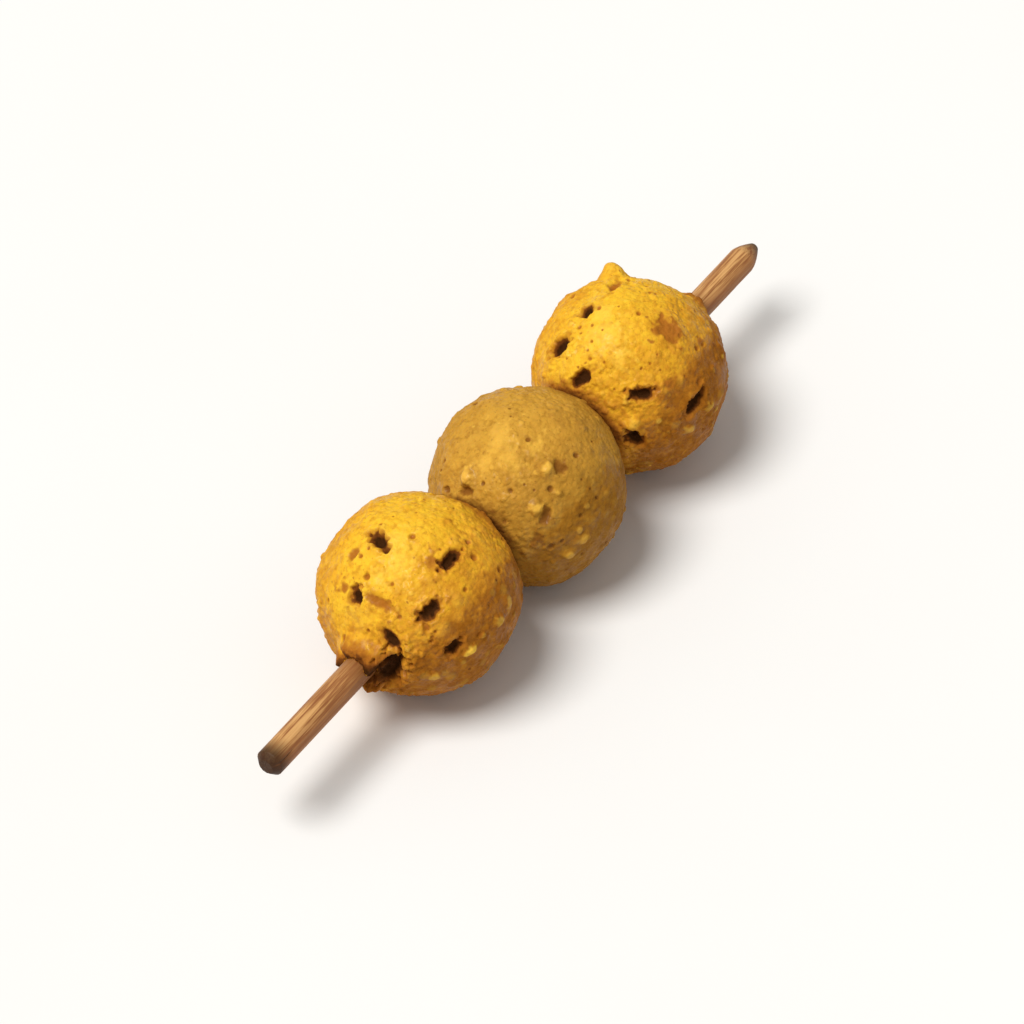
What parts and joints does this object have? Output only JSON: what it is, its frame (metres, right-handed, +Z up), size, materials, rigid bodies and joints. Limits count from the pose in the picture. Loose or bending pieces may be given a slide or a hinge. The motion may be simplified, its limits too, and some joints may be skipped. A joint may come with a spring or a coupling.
{
  "type": "fried boba skewer",
  "caption": "Short bamboo stick through round deep-fried tapioca balls with blistered golden crusts, lying on its side.",
  "frame": {"origin": "on the resting surface, under the middle of the stick's length and half way across the balls", "axes": "+X along the stick from its blunt grip end to its sharpened tip, +Z up, +Y across"},
  "size_m": [0.12, 0.0297, 0.0281],
  "materials": {
    "golden_crust": "deep-fried crust, golden yellow, browned in its pits and at the stick, with a thin film of oil",
    "tan_crust": "duller tan fried crust, mottled, with a thin film of oil",
    "bamboo": "bare bamboo with fine lengthwise fibres, darker at the cut ends"
  },
  "bodies": {
    "root": {"ball_grip": "golden_crust", "ball_middle": "tan_crust", "ball_tip": "golden_crust", "stick": "bamboo"}
  },
  "joints": []
}
